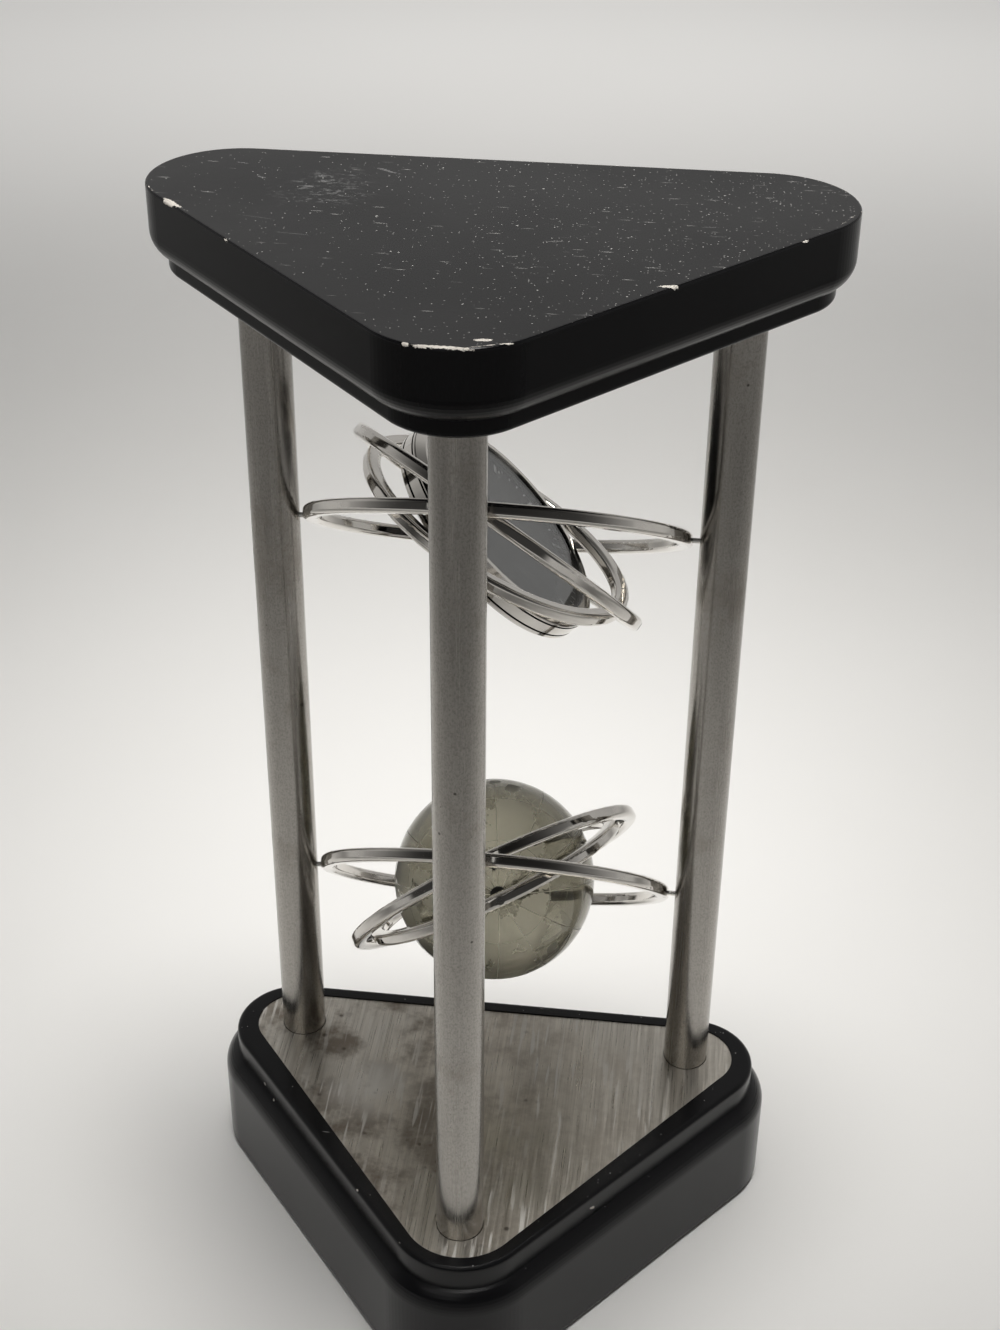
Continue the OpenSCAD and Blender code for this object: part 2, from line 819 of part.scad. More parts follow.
// Half of the hollow globe towards angle a, with a flat seat and a hole at its pole
module globe_shell(a) {
    difference() {
        sphere(globe_r, $fn = 128);
        sphere(globe_r - globe_wall, $fn = 128);
        radial(a) cylinder(r = hub_r + fix_clear, h = globe_r + cut);
        radial(a) translate([0, 0, hub_seat]) cylinder(r = hub_flange_r + seat_clear, h = globe_r);
        radial(a + 180) cylinder(r = globe_r + cut, h = globe_r + cut);
    }
}

// Front half, with a tongue inside the joint
module globe_half_front() {
    color([0.85, 0.88, 0.88, 0.4]) at_globe() {
        globe_shell(270);
        radial(90) difference() {
            cylinder(r = lap_r - fix_clear, h = lap_len);
            translate([0, 0, -cut]) cylinder(r = globe_r - globe_wall, h = lap_len + 2 * cut);
        }
    }
}

// Rear half, rebated for the tongue
module globe_half_rear() {
    color([0.85, 0.88, 0.88, 0.4]) at_globe() difference() {
        globe_shell(90);
        radial(90) translate([0, 0, -cut]) cylinder(r = lap_r, h = lap_len + seat_clear + cut);
    }
}

// Flanged bush at a pole of the globe, bored for its pin
module globe_hub(a) {
    color([0.12, 0.12, 0.13]) at_globe() radial(a) difference() {
        union() {
            translate([0, 0, hub_seat]) cylinder(r = hub_flange_r, h = hub_flange_t);
            translate([0, 0, hub_seat + hub_flange_t - hub_len]) cylinder(r = hub_r, h = hub_len);
        }
        translate([0, 0, hub_seat + hub_flange_t - pin_engage - turn_gap])
            cylinder(r = pin_r + run_clear, h = pin_engage + turn_gap + cut);
    }
}

module globe_hub_front() {
    globe_hub(270);
}

module globe_hub_rear() {
    globe_hub(90);
}

base_body();
base_plate();
base_pad();
top_body();
column_left();
column_right();
column_front();
tie_rod_left();
tie_rod_right();
tie_rod_front();
rod_nut_left();
rod_nut_right();
rod_nut_front();
clock_pivot_left();
clock_pivot_right();
globe_pivot_left();
globe_pivot_right();
clock_outer_ring();
clock_outer_pin_front();
clock_outer_pin_rear();
clock_middle_ring();
clock_middle_pin_left();
clock_middle_pin_right();
clock_inner_ring();
clock_inner_pin_front();
clock_inner_pin_rear();
clock_case();
clock_bezel();
clock_lens();
clock_dial();
clock_movement();
clock_cell();
clock_back();
cell_lid();
hour_hand();
minute_hand();
setting_knob();
globe_outer_ring();
globe_outer_pin_front();
globe_outer_pin_rear();
globe_middle_ring();
globe_middle_pin_left();
globe_middle_pin_right();
globe_inner_ring();
globe_inner_pin_front();
globe_inner_pin_rear();
globe_half_front();
globe_half_rear();
globe_hub_front();
globe_hub_rear();
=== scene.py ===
import json
import math

import bpy
from mathutils import Matrix, Vector


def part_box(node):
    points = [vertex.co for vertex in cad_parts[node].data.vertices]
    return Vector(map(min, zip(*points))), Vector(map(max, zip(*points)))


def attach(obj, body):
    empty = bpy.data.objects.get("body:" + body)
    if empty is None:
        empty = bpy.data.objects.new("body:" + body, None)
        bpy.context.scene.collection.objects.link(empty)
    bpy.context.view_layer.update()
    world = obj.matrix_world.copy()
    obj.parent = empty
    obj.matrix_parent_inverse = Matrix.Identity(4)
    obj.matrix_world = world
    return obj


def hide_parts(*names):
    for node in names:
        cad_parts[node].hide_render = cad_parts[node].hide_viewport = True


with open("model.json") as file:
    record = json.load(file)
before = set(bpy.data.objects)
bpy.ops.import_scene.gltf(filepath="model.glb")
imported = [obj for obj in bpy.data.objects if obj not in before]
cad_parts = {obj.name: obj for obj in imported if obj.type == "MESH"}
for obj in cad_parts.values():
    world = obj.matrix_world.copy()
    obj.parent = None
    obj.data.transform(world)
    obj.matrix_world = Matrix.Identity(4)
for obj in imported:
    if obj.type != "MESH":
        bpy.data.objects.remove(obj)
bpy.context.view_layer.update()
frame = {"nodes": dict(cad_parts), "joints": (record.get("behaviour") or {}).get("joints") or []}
nodes = frame["nodes"]
joints = {j["name"]: j for j in frame["joints"]}
MM = 0.001

# Warm white of the lamps, the sky and the far floor.
WARM = (1.0, 0.985, 0.96)

# Centres of the two gimbals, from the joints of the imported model.
CLOCK = Vector(joints["clock_spin"]["pos_m"])
GLOBE = Vector(joints["globe_spin"]["pos_m"])


def axis_frame(x, y):
    """Rotation whose columns are x, y and their cross product."""
    x = Vector(x).normalized()
    y = (Vector(y) - Vector(y).dot(x) * x).normalized()
    return Matrix((x, y, x.cross(y))).transposed()


# Pose of the clock, whose Z looks out of the dial, and the pole of the globe.
dial_normal = -Vector(joints["minute_turn"]["axis"])
clock_y = Vector(joints["clock_spin"]["axis"])
CLOCK_ROT = axis_frame(clock_y.cross(dial_normal), clock_y)
NORTH = -Vector(joints["globe_spin"]["axis"])


class Nodes:
    """Short calls for building one material's node tree."""

    def __init__(self, name):
        self.mat = bpy.data.materials.new(name)
        self.mat.use_nodes = True
        self.tree = self.mat.node_tree
        self.bsdf = self.tree.nodes["Principled BSDF"]
        self.coords = self.tree.nodes.new("ShaderNodeTexCoord")
        self.point = self.coords.outputs["Object"]
        self.normal = self.coords.outputs["Normal"]

    def add(self, kind, **settings):
        node = self.tree.nodes.new(kind)
        for key, value in settings.items():
            setattr(node, key, value)
        return node

    def put(self, socket, value):
        """Link a socket to another one, or give it a plain value."""
        if isinstance(value, bpy.types.NodeSocket):
            self.tree.links.new(value, socket)
        elif socket.type == "RGBA" and len(value) == 3:
            socket.default_value = (*value, 1.0)
        else:
            socket.default_value = value

    def math(self, op, a, b=0.0, c=0.0, clamp=False):
        node = self.add("ShaderNodeMath", operation=op, use_clamp=clamp)
        for socket, value in zip(node.inputs, (a, b, c)):
            self.put(socket, value)
        return node.outputs[0]

    def vmath(self, op, a, b=(0, 0, 0), out=0):
        node = self.add("ShaderNodeVectorMath", operation=op)
        self.put(node.inputs[0], a)
        self.put(node.inputs[1], b)
        return node.outputs[out]

    def mapped(self, scale=(1, 1, 1), loc=(0, 0, 0), rot=(0, 0, 0), kind="POINT"):
        """The point scaled, moved and turned, or with kind TEXTURE the same undone."""
        node = self.add("ShaderNodeMapping", vector_type=kind)
        self.put(node.inputs["Vector"], self.point)
        self.put(node.inputs["Location"], loc)
        self.put(node.inputs["Rotation"], rot)
        self.put(node.inputs["Scale"], scale)
        return node.outputs[0]

    def local(self, origin, rotation):
        """The point in the frame of a turned piece."""
        return self.mapped(loc=origin, rot=rotation.to_euler("XYZ"), kind="TEXTURE")

    def split(self, vector):
        """X, Y and Z of a vector."""
        node = self.add("ShaderNodeSeparateXYZ")
        self.put(node.inputs[0], vector)
        return node.outputs

    def noise(self, scale, detail=4.0, rough=0.55, vector=None, distort=0.0):
        node = self.add("ShaderNodeTexNoise")
        self.put(node.inputs["Vector"], vector or self.point)
        self.put(node.inputs["Scale"], scale)
        self.put(node.inputs["Detail"], detail)
        self.put(node.inputs["Roughness"], rough)
        self.put(node.inputs["Distortion"], distort)
        return node.outputs[0]

    def cells(self, scale, vector=None):
        """Distance to the nearest seed point and a random value for its cell."""
        node = self.add("ShaderNodeTexVoronoi")
        self.put(node.inputs["Vector"], vector or self.point)
        self.put(node.inputs["Scale"], scale)
        return node.outputs["Distance"], self.split(node.outputs["Color"])[0]

    def ramp(self, value, low, high, to_low=0.0, to_high=1.0):
        """Smooth step of a value between two limits, from one result to another."""
        node = self.add("ShaderNodeMapRange", interpolation_type="SMOOTHSTEP")
        for socket, v in zip(node.inputs, (value, low, high, to_low, to_high)):
            self.put(socket, v)
        return node.outputs[0]

    def mix(self, factor, a, b):
        node = self.add("ShaderNodeMix", data_type="RGBA")
        self.put(node.inputs[0], factor)
        self.put(node.inputs[6], a)
        self.put(node.inputs[7], b)
        return node.outputs[2]

    def most(self, values):
        """The greatest of several values."""
        greatest = values[0]
        for value in values[1:]:
            greatest = self.math("MAXIMUM", greatest, value)
        return greatest

    def hypot(self, a, b):
        """Length of the flat vector (a, b)."""
        squares = self.math("ADD", self.math("MULTIPLY", a, a), self.math("MULTIPLY", b, b))
        return self.math("POWER", squares, 0.5)

    def bump(self, height, strength, distance):
        node = self.add("ShaderNodeBump")
        self.put(node.inputs["Strength"], strength)
        self.put(node.inputs["Distance"], distance)
        self.put(node.inputs["Height"], height)
        self.put(self.bsdf.inputs["Normal"], node.outputs[0])

    def set(self, **values):
        """Inputs of the surface shader, by name."""
        for key, value in values.items():
            self.put(self.bsdf.inputs[key.replace("_", " ")], value)


def dress(material, *names):
    """Give CAD pieces a material as their only one."""
    for name in names:
        slots = nodes[name].data.materials
        slots.clear()
        slots.append(material)


def stroke(n, a, b, r, ragged):
    """Mask of a long mark from a to b with half width r, in millimetres, with edges broken by a noise."""
    a, b = Vector(a) * MM, Vector(b) * MM
    along = b - a
    side = Vector((0, 0, 1)) if abs(along.z) < along.length / 2 else Vector((1, 0, 0))
    turned = axis_frame(along, side).to_euler("XYZ")
    scale = (along.length / 2 + r * 0.5 * MM, r * 0.72 * MM, r * 0.72 * MM)
    inside = n.vmath("LENGTH", n.mapped(scale=scale, loc=(a + b) / 2, rot=turned, kind="TEXTURE"), out=1)
    return n.ramp(n.math("ADD", inside, ragged), 1.12, 0.86)


def dust(n, scale, share, size, vector=None):
    """Mask of loose specks: a share of the cells holds one each."""
    distance, pick = n.cells(scale, vector)
    keep = n.math("LESS_THAN", pick, share)
    return n.math("MULTIPLY", keep, n.ramp(distance, size, size * 0.55))


# Tones of the paint, of rubbed paint, of dust and of the board below; sheen of walls and of level faces.
PAINT_DARK, PAINT_LIGHT = (0.0035, 0.0035, 0.0041), (0.0075, 0.0075, 0.0086)
RUBBED, DUST, BOARD = (0.22, 0.22, 0.22), (0.46, 0.455, 0.44), (0.72, 0.68, 0.62)
WALL_ROUGH, LEVEL_GLOSS = 0.22, 0.5


def lacquer(name, chips, rubs, scuff_at, scuff_r, dusty, level_rough, wall_gloss):
    """Satin black paint on board: orange peel, smudges, dust, fibres, a scuff and chips to the pale board.

    Chips and rubs are strokes, and the scuff has a centre and a radius, all in millimetres. Dusty is the
    amount of dust on the level faces.
    """
    n = Nodes(name)
    up = n.ramp(n.split(n.normal)[2], 0.85, 0.99)
    ragged = n.math("MULTIPLY_ADD", n.noise(1700.0, 3.0, 0.6), 1.6, -0.8)
    chip = n.most([stroke(n, *mark, ragged) for mark in chips])
    rubbed = n.most([stroke(n, *mark, ragged) for mark in rubs])
    smear = n.noise(22.0, 5.0, 0.6)
    base = n.mix(smear, PAINT_DARK, PAINT_LIGHT)
    share = n.ramp(n.split(n.point)[0], -0.02, 0.03, 0.45, 1.0)
    fibres = [dust(n, 1.0, n.math("MULTIPLY", share, 0.013 * dusty), 0.46,
                   n.mapped(scale=(330.0, 2600.0, 900.0), rot=(0, 0, turn))) for turn in (0.35, -0.9)]
    specks = n.most([dust(n, 1700.0, n.math("MULTIPLY", share, 0.26 * dusty), 0.26),
                     dust(n, 800.0, n.math("MULTIPLY", share, 0.10 * dusty), 0.18),
                     n.math("MULTIPLY", n.most(fibres), 0.6)])
    specks = n.math("MULTIPLY", specks, n.math("MULTIPLY", up, n.ramp(n.noise(420.0, 2.0), 0.35, 0.62, 0.2, 1.0)))
    patch = n.math("SUBTRACT", n.vmath("DISTANCE", n.point, [v * MM for v in scuff_at], out=1),
                   n.math("MULTIPLY", n.math("SUBTRACT", n.noise(240.0, 3.0), 0.5), 0.016))
    scuff_point = n.mapped(scale=(420.0, 950.0, 700.0), rot=(0, 0, -0.5))
    scuffed = n.math("MULTIPLY", n.ramp(patch, scuff_r * MM, scuff_r * 0.2 * MM),
                     n.ramp(n.noise(1.0, 5.0, 0.75, vector=scuff_point, distort=0.8), 0.53, 0.60))
    worn = n.most([n.math("MULTIPLY", scuffed, up), n.math("MULTIPLY", rubbed, 0.8)])
    base = n.mix(n.math("MULTIPLY", worn, 0.6), base, RUBBED)
    base = n.mix(n.math("MULTIPLY", specks, 0.9), base, DUST)
    base = n.mix(chip, base, BOARD)
    rough = n.math("ADD", n.ramp(smear, 0.3, 0.7, -0.04, 0.05), n.ramp(up, 0.0, 1.0, WALL_ROUGH, level_rough))
    rough = n.math("MAXIMUM", rough, n.math("MULTIPLY", n.most([chip, specks, worn]), 0.75))
    n.set(Base_Color=base, Roughness=rough, Specular_IOR_Level=n.ramp(up, 0.0, 1.0, wall_gloss, LEVEL_GLOSS))
    height = n.math("ADD", n.math("MULTIPLY", n.noise(2600.0, 2.0), 0.25), n.math("MULTIPLY", chip, -1.0))
    n.bump(n.math("ADD", height, n.math("MULTIPLY", specks, 0.5)), 0.25, 0.0001)
    return n.mat


# Marks as strokes: both ends and the half width in millimetres.
TOP_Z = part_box("top_body")[1].z / MM
RIM_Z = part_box("base_body")[1].z / MM
EDGE_Z = TOP_Z - 0.15
top_chips = [
    ((-6.1, -50.8, EDGE_Z), (-5.2, -51.1, EDGE_Z), 0.45), ((-4.4, -51.5, EDGE_Z), (3.8, -51.6, EDGE_Z), 0.55),
    ((2.6, -51.7, EDGE_Z), (10.6, -48.3, EDGE_Z), 0.26), ((4.5, -48.4, TOP_Z), (6.5, -48.2, TOP_Z), 0.62),
    ((-55.8, 3.0, EDGE_Z), (-53.2, 0.3, EDGE_Z), 0.85), ((-53.6, 0.9, EDGE_Z), (-52.2, -0.4, EDGE_Z), 0.55),
    ((-60.6, 9.6, EDGE_Z), (-58.6, 6.4, EDGE_Z), 0.22), ((-49.4, -4.9, EDGE_Z), (-44.4, -10.6, EDGE_Z), 0.20),
    ((-41.6, -13.4, EDGE_Z), (-40.9, -14.2, EDGE_Z), 0.26), ((-33.6, -22.9, EDGE_Z), (-32.8, -23.7, EDGE_Z), 0.38),
    ((-31.6, -24.9, EDGE_Z), (-31.1, -25.5, EDGE_Z), 0.26), ((30.0, -24.2, EDGE_Z), (32.8, -23.6, EDGE_Z), 0.68),
    ((52.0, -1.5, EDGE_Z), (52.9, -0.7, EDGE_Z), 0.30), ((62.3, 15.0, EDGE_Z), (57.6, 5.6, EDGE_Z), 0.20),
    ((18.4, 31.6, EDGE_Z), (21.8, 31.6, EDGE_Z), 0.5), ((27.8, 31.6, EDGE_Z), (29.4, 31.6, EDGE_Z), 0.45),
    ((-43.2, -11.9, TOP_Z - 8.8), (-43.1, -11.6, TOP_Z - 11.6), 0.18),
]
top_rubs = [
    ((-48.0, 23.4, TOP_Z), (-45.8, 23.1, TOP_Z), 0.24), ((-42.8, 16.8, TOP_Z), (-41.0, 15.8, TOP_Z), 0.34),
    ((-41.2, -2.6, TOP_Z), (-35.6, -3.8, TOP_Z), 0.13), ((-33.9, -9.5, TOP_Z), (-28.0, -10.2, TOP_Z), 0.12),
    ((-22.8, 24.0, TOP_Z), (-18.8, 21.6, TOP_Z), 0.50), ((35.4, 2.6, TOP_Z), (38.0, 2.9, TOP_Z), 0.16),
    ((17.5, -37.2, TOP_Z), (21.8, -36.8, TOP_Z), 0.16),
]
dress(lacquer("black_lacquer_top", top_chips, top_rubs, scuff_at=(-29.4, 12.6, TOP_Z), scuff_r=10.5, dusty=1.0,
              level_rough=0.41, wall_gloss=0.15), "top_body")
base_chips = [
    ((26.0, -26.6, 27.9), (26.6, -26.0, 27.6), 0.5), ((-49.2, 1.2, 27.2), (-49.0, 1.0, 26.8), 0.34),
    ((-46.6, -2.0, 25.8), (-46.4, -2.2, 25.4), 0.30), ((-11.7, -43.5, RIM_Z), (-11.3, -43.7, RIM_Z), 0.30),
    ((-22.5, -30.6, RIM_Z - 0.3), (-22.2, -30.8, RIM_Z - 0.4), 0.24),
]
base_rubs = [
    ((-55.0, -6.0, 12.0), (-54.4, -6.8, 8.0), 0.16), ((30.0, -30.6, 14.0), (33.0, -26.6, 13.2), 0.14),
]
dress(lacquer("black_lacquer_base", base_chips, base_rubs, scuff_at=(-60.0, 4.0, RIM_Z), scuff_r=4.0, dusty=0.12,
              level_rough=0.22, wall_gloss=0.28), "base_body")


# Tint that a stain gives steel, and the tone of a pit.
STAIN_TINT, PIT = (0.52, 0.48, 0.43), (0.03, 0.025, 0.02)


def drawn_steel(name, colour, streak, rough, stain, grain=0.0):
    """Satin steel with fine streaks along one axis, a grain, faint stains and small pits."""
    n = Nodes(name)
    lines = n.noise(1.0, 3.0, 0.6, vector=n.mapped(scale=streak))
    broad = n.noise(1.0, 2.0, 0.5, vector=n.mapped(scale=[s * 0.18 for s in streak]))
    speckle = n.noise(1.0, 4.0, 0.7, vector=n.mapped(scale=(3000.0, 3000.0, 1900.0)))
    cloud = n.noise(55.0, 6.0, 0.66)
    dirt = n.ramp(cloud, 0.5, 0.74)
    distance, pick = n.cells(330.0)
    pit = n.math("MULTIPLY", n.math("GREATER_THAN", pick, 0.965), n.ramp(distance, 0.14, 0.06))
    tone = n.mix(n.ramp(lines, 0.3, 0.7), [c * 0.95 for c in colour], [min(1, c * 1.05) for c in colour])
    tone = n.mix(n.math("MULTIPLY", n.ramp(speckle, 0.42, 0.68), grain), tone, [c * 0.45 for c in colour])
    tone = n.mix(n.math("MULTIPLY", dirt, stain), tone, [c * f for c, f in zip(colour, STAIN_TINT)])
    tone = n.mix(n.math("MULTIPLY", pit, 0.8), tone, PIT)
    spread = n.math("ADD", n.ramp(lines, 0.3, 0.7, -0.02, 0.02), n.ramp(broad, 0.3, 0.7, -0.03, 0.04))
    spread = n.math("ADD", spread, n.math("MULTIPLY", dirt, 0.10 * stain))
    spread = n.math("ADD", spread, n.math("MULTIPLY", speckle, 0.12 * grain))
    n.set(Base_Color=tone, Metallic=1.0, Roughness=n.math("ADD", spread, rough, clamp=True))
    height = n.math("SUBTRACT", n.math("MULTIPLY", lines, 0.15), n.math("MULTIPLY", pit, 1.5))
    n.bump(n.math("ADD", height, n.math("MULTIPLY", speckle, grain * 0.8)), 0.22, 0.00006)
    return n.mat


dress(drawn_steel("column_steel", (0.44, 0.42, 0.39), streak=(2600.0, 2600.0, 60.0), rough=0.20, stain=0.45,
                  grain=0.5), "column_left", "column_right", "column_front")
dress(drawn_steel("zinc_steel", (0.55, 0.55, 0.52), streak=(900.0, 900.0, 900.0), rough=0.34, stain=0.2),
      "tie_rod_left", "tie_rod_right", "tie_rod_front", "rod_nut_left", "rod_nut_right", "rod_nut_front")
dress(drawn_steel("cell_steel", (0.62, 0.62, 0.62), streak=(1400.0, 1400.0, 1400.0), rough=0.22, stain=0.1),
      "clock_cell")
dress(drawn_steel("pin_steel", (0.50, 0.49, 0.47), streak=(4000.0, 4000.0, 4000.0), rough=0.18, stain=0.15),
      *[name for name in nodes if "_pin_" in name or "_pivot_" in name])


# Centre of the worn spot, whose bright tone is a painted highlight, and the turn of the brushed lines.
WORN_HIGHLIGHT_SPOT = (-0.025, 0.0, 0.031)
BRUSH_TURN = (0, 0, 0.09)
PLATE_DARK, PLATE_LIGHT, PLATE_DULL = (0.74, 0.695, 0.62), (0.94, 0.895, 0.81), (0.60, 0.56, 0.495)
PLATE_STAIN, PLATE_SPOT = (0.21, 0.168, 0.128), (0.08, 0.06, 0.045)
# The bright tone of the worn spot is a painted highlight.
PLATE_WORN_HIGHLIGHT, PLATE_CUT = (0.92, 0.89, 0.83), (0.95, 0.93, 0.88)


def plate_steel():
    """Steel plate brushed along the depth, with old stains, dark spots, scratches and a worn spot with a painted
    highlight.
    """
    n = Nodes("plate_steel")
    fine = n.noise(1.0, 3.0, 0.65, vector=n.mapped(scale=(3200.0, 55.0, 400.0), rot=BRUSH_TURN))
    coarse = n.noise(1.0, 3.0, 0.6, vector=n.mapped(scale=(620.0, 16.0, 100.0), rot=BRUSH_TURN))
    cut_point = n.mapped(scale=(900.0, 70.0, 100.0), rot=(0, 0, 0.16))
    long_point = n.mapped(scale=(1500.0, 34.0, 100.0), rot=(0, 0, -0.22))
    cuts = n.most([n.ramp(n.noise(1.0, 1.0, 0.4, vector=cut_point), 0.60, 0.68),
                   n.math("MULTIPLY", n.ramp(n.noise(1.0, 1.0, 0.4, vector=long_point), 0.64, 0.72), 0.7)])
    cuts = n.math("MULTIPLY", cuts, n.ramp(n.noise(30.0, 3.0), 0.38, 0.6, 0.25, 1.0))
    cloud = n.noise(64.0, 8.0, 0.66)
    stain = n.ramp(cloud, 0.42, 0.62)
    left = n.ramp(n.split(n.point)[0], 0.03, -0.03, 0.35, 1.0)
    distance, pick = n.cells(420.0)
    spotted = n.math("LESS_THAN", pick, n.math("MULTIPLY", left, 0.22))
    spot = n.math("MULTIPLY", spotted, n.ramp(distance, 0.34, 0.08))
    spot = n.math("MULTIPLY", spot, n.ramp(cloud, 0.42, 0.58))
    # Worn spot with a painted highlight: near it the plate is painted bright and made less metallic.
    wear_and_highlight = n.math("SUBTRACT", n.vmath("DISTANCE", n.point, WORN_HIGHLIGHT_SPOT, out=1),
                  n.math("MULTIPLY", n.math("SUBTRACT", cloud, 0.5), 0.03))
    wear_and_highlight = n.math("MULTIPLY", n.ramp(wear_and_highlight, 0.011, 0.002), n.ramp(coarse, 0.3, 0.65, 0.5, 1.0))
    tone = n.mix(n.ramp(fine, 0.3, 0.7), PLATE_DARK, PLATE_LIGHT)
    tone = n.mix(n.math("MULTIPLY", n.ramp(coarse, 0.35, 0.7), 0.5), tone, PLATE_DULL)
    tone = n.mix(n.math("MULTIPLY", n.math("MULTIPLY", stain, left), 0.85), tone, PLATE_STAIN)
    tone = n.mix(n.math("MULTIPLY", wear_and_highlight, 0.9), tone, PLATE_WORN_HIGHLIGHT)
    tone = n.mix(n.math("MULTIPLY", cuts, 0.8), tone, PLATE_CUT)
    tone = n.mix(n.math("MULTIPLY", spot, 0.75), tone, PLATE_SPOT)
    rough = n.math("ADD", n.ramp(fine, 0.3, 0.7, 0.26, 0.40), n.math("MULTIPLY", stain, 0.12))
    n.set(Base_Color=tone, Metallic=n.math("MULTIPLY_ADD", n.most([wear_and_highlight, cuts]), -0.55, 1.0), Roughness=rough)
    height = n.math("ADD", fine, n.math("ADD", n.math("MULTIPLY", coarse, 0.6), n.math("MULTIPLY", cuts, 0.8)))
    n.bump(height, 0.3, 0.00008)
    return n.mat


dress(plate_steel(), "base_plate")


CHROME_TINT, CHROME_ROUGH = (0.72, 0.695, 0.655), 0.045
CASE_DARK_TONE = (0.03, 0.028, 0.025)
# Radius about the clock's axis below which the case is coloured near black.
CASE_GROOVE_R = 24.35 * MM


def chrome(name, groove_r=None):
    """Bright plated metal with faint wipe marks and hairlines, coloured near black below groove_r where it is given.
    """
    n = Nodes(name)
    wipe = n.noise(70.0, 5.0, 0.6)
    hair_point = n.mapped(scale=(1900.0, 260.0, 900.0), rot=(0.5, 0.3, 0.8))
    hair = n.ramp(n.noise(1.0, 1.0, 0.4, vector=hair_point), 0.68, 0.74)
    tone = n.mix(n.ramp(wipe, 0.35, 0.7), CHROME_TINT, [c * 0.86 for c in CHROME_TINT])
    if groove_r:
        # Inside groove_r the case is coloured near black.
        x, y, _ = n.split(n.local(CLOCK, CLOCK_ROT))
        tone = n.mix(n.ramp(n.hypot(x, y), groove_r, groove_r - 0.2 * MM), tone, CASE_DARK_TONE)
    wiped = n.ramp(wipe, 0.35, 0.75, CHROME_ROUGH, CHROME_ROUGH + 0.08)
    spread = n.math("ADD", wiped, n.math("MULTIPLY", hair, 0.10))
    n.set(Base_Color=tone, Metallic=1.0, Roughness=spread)
    n.bump(n.math("ADD", n.math("MULTIPLY", wipe, 0.4), n.math("MULTIPLY", hair, 0.3)), 0.05, 0.00005)
    return n.mat


dress(chrome("chrome"), *[name for name in nodes if name.endswith("_ring")], "clock_bezel")
dress(chrome("case_chrome", CASE_GROOVE_R), "clock_case")


def plastic():
    """Black moulded plastic with a fine grain."""
    n = Nodes("black_plastic")
    grain = n.noise(2400.0, 3.0, 0.5)
    tone = n.mix(grain, (0.018, 0.018, 0.019), (0.030, 0.030, 0.031))
    n.set(Base_Color=tone, Roughness=n.ramp(grain, 0.3, 0.7, 0.46, 0.58))
    n.bump(grain, 0.3, 0.00008)
    return n.mat


dress(plastic(), "clock_movement", "clock_back", "cell_lid", "setting_knob", "globe_hub_front",
      "globe_hub_rear")


def felt():
    """Black felt of short fibres."""
    n = Nodes("felt")
    fibre = n.noise(2100.0, 6.0, 0.7, distort=1.2)
    clump = n.noise(190.0, 3.0)
    tone = n.mix(fibre, (0.012, 0.012, 0.013), (0.055, 0.055, 0.058))
    tone = n.mix(n.math("MULTIPLY", clump, 0.4), tone, (0.02, 0.02, 0.021))
    n.set(Base_Color=tone, Roughness=0.95, Sheen_Weight=0.3)
    n.bump(fibre, 0.7, 0.0003)
    return n.mat


dress(felt(), "base_pad")


# Tones of the dial and its marks, and where the minute track and the raised marks fade in and out.
DIAL_DARK, DIAL_LIGHT, DIAL_MARK = (0.045, 0.045, 0.044), (0.095, 0.093, 0.088), (0.42, 0.42, 0.42)
TRACK_INNER, TRACK_OUTER = (20.2 * MM, 20.3 * MM), (21.3 * MM, 21.2 * MM)
MARK_HEIGHT = (0.24 * MM, 0.28 * MM)
MINUTES = 60


def dial():
    """Grey sunray dial with a minute track and bright hour marks."""
    n = Nodes("dial_grey")
    x, y, z = n.split(n.local(CLOCK, CLOCK_ROT))
    angle = n.math("ARCTAN2", y, x)
    radius = n.hypot(x, y)
    turn = n.math("FRACT", n.math("ADD", n.math("MULTIPLY", angle, MINUTES / math.tau), MINUTES + 0.5))
    tick = n.ramp(n.math("ABSOLUTE", n.math("SUBTRACT", turn, 0.5)), 0.10, 0.07)
    band = n.math("MULTIPLY", n.ramp(radius, *TRACK_INNER), n.ramp(radius, *TRACK_OUTER))
    ray_point = n.add("ShaderNodeCombineXYZ")
    n.put(ray_point.inputs[0], n.math("MULTIPLY", angle, 22.0))
    n.put(ray_point.inputs[1], n.math("MULTIPLY", radius, 30.0))
    rays = n.noise(1.0, 4.0, 0.6, vector=ray_point.outputs[0])
    tone = n.mix(rays, DIAL_DARK, DIAL_LIGHT)
    raised = n.ramp(z, *MARK_HEIGHT)
    tone = n.mix(n.most([n.math("MULTIPLY", tick, band), raised]), tone, DIAL_MARK)
    n.set(Base_Color=tone, Metallic=0.55, Roughness=n.ramp(rays, 0.3, 0.7, 0.38, 0.52), Specular_IOR_Level=0.1)
    n.bump(rays, 0.15, 0.00005)
    return n.mat


dress(dial(), "clock_dial")


def hand_metal():
    """Dark metal of the hands."""
    n = Nodes("hand_metal")
    grain = n.noise(1500.0, 3.0)
    n.set(Base_Color=n.mix(grain, (0.02, 0.02, 0.021), (0.045, 0.045, 0.046)), Metallic=0.7,
          Roughness=n.ramp(grain, 0.3, 0.7, 0.28, 0.4))
    return n.mat


dress(hand_metal(), "hour_hand", "minute_hand")


def lens():
    """Clear lens with a faint haze, and with dim reflections as from coated glass."""
    n = Nodes("lens_glass")
    haze = n.noise(60.0, 5.0, 0.6)
    n.set(Base_Color=(0.94, 0.96, 0.96), Roughness=n.ramp(haze, 0.4, 0.75, 0.015, 0.06), IOR=1.48,
          Transmission_Weight=1.0, Specular_Tint=(0.25, 0.25, 0.27))
    return n.mat


dress(lens(), "clock_lens")


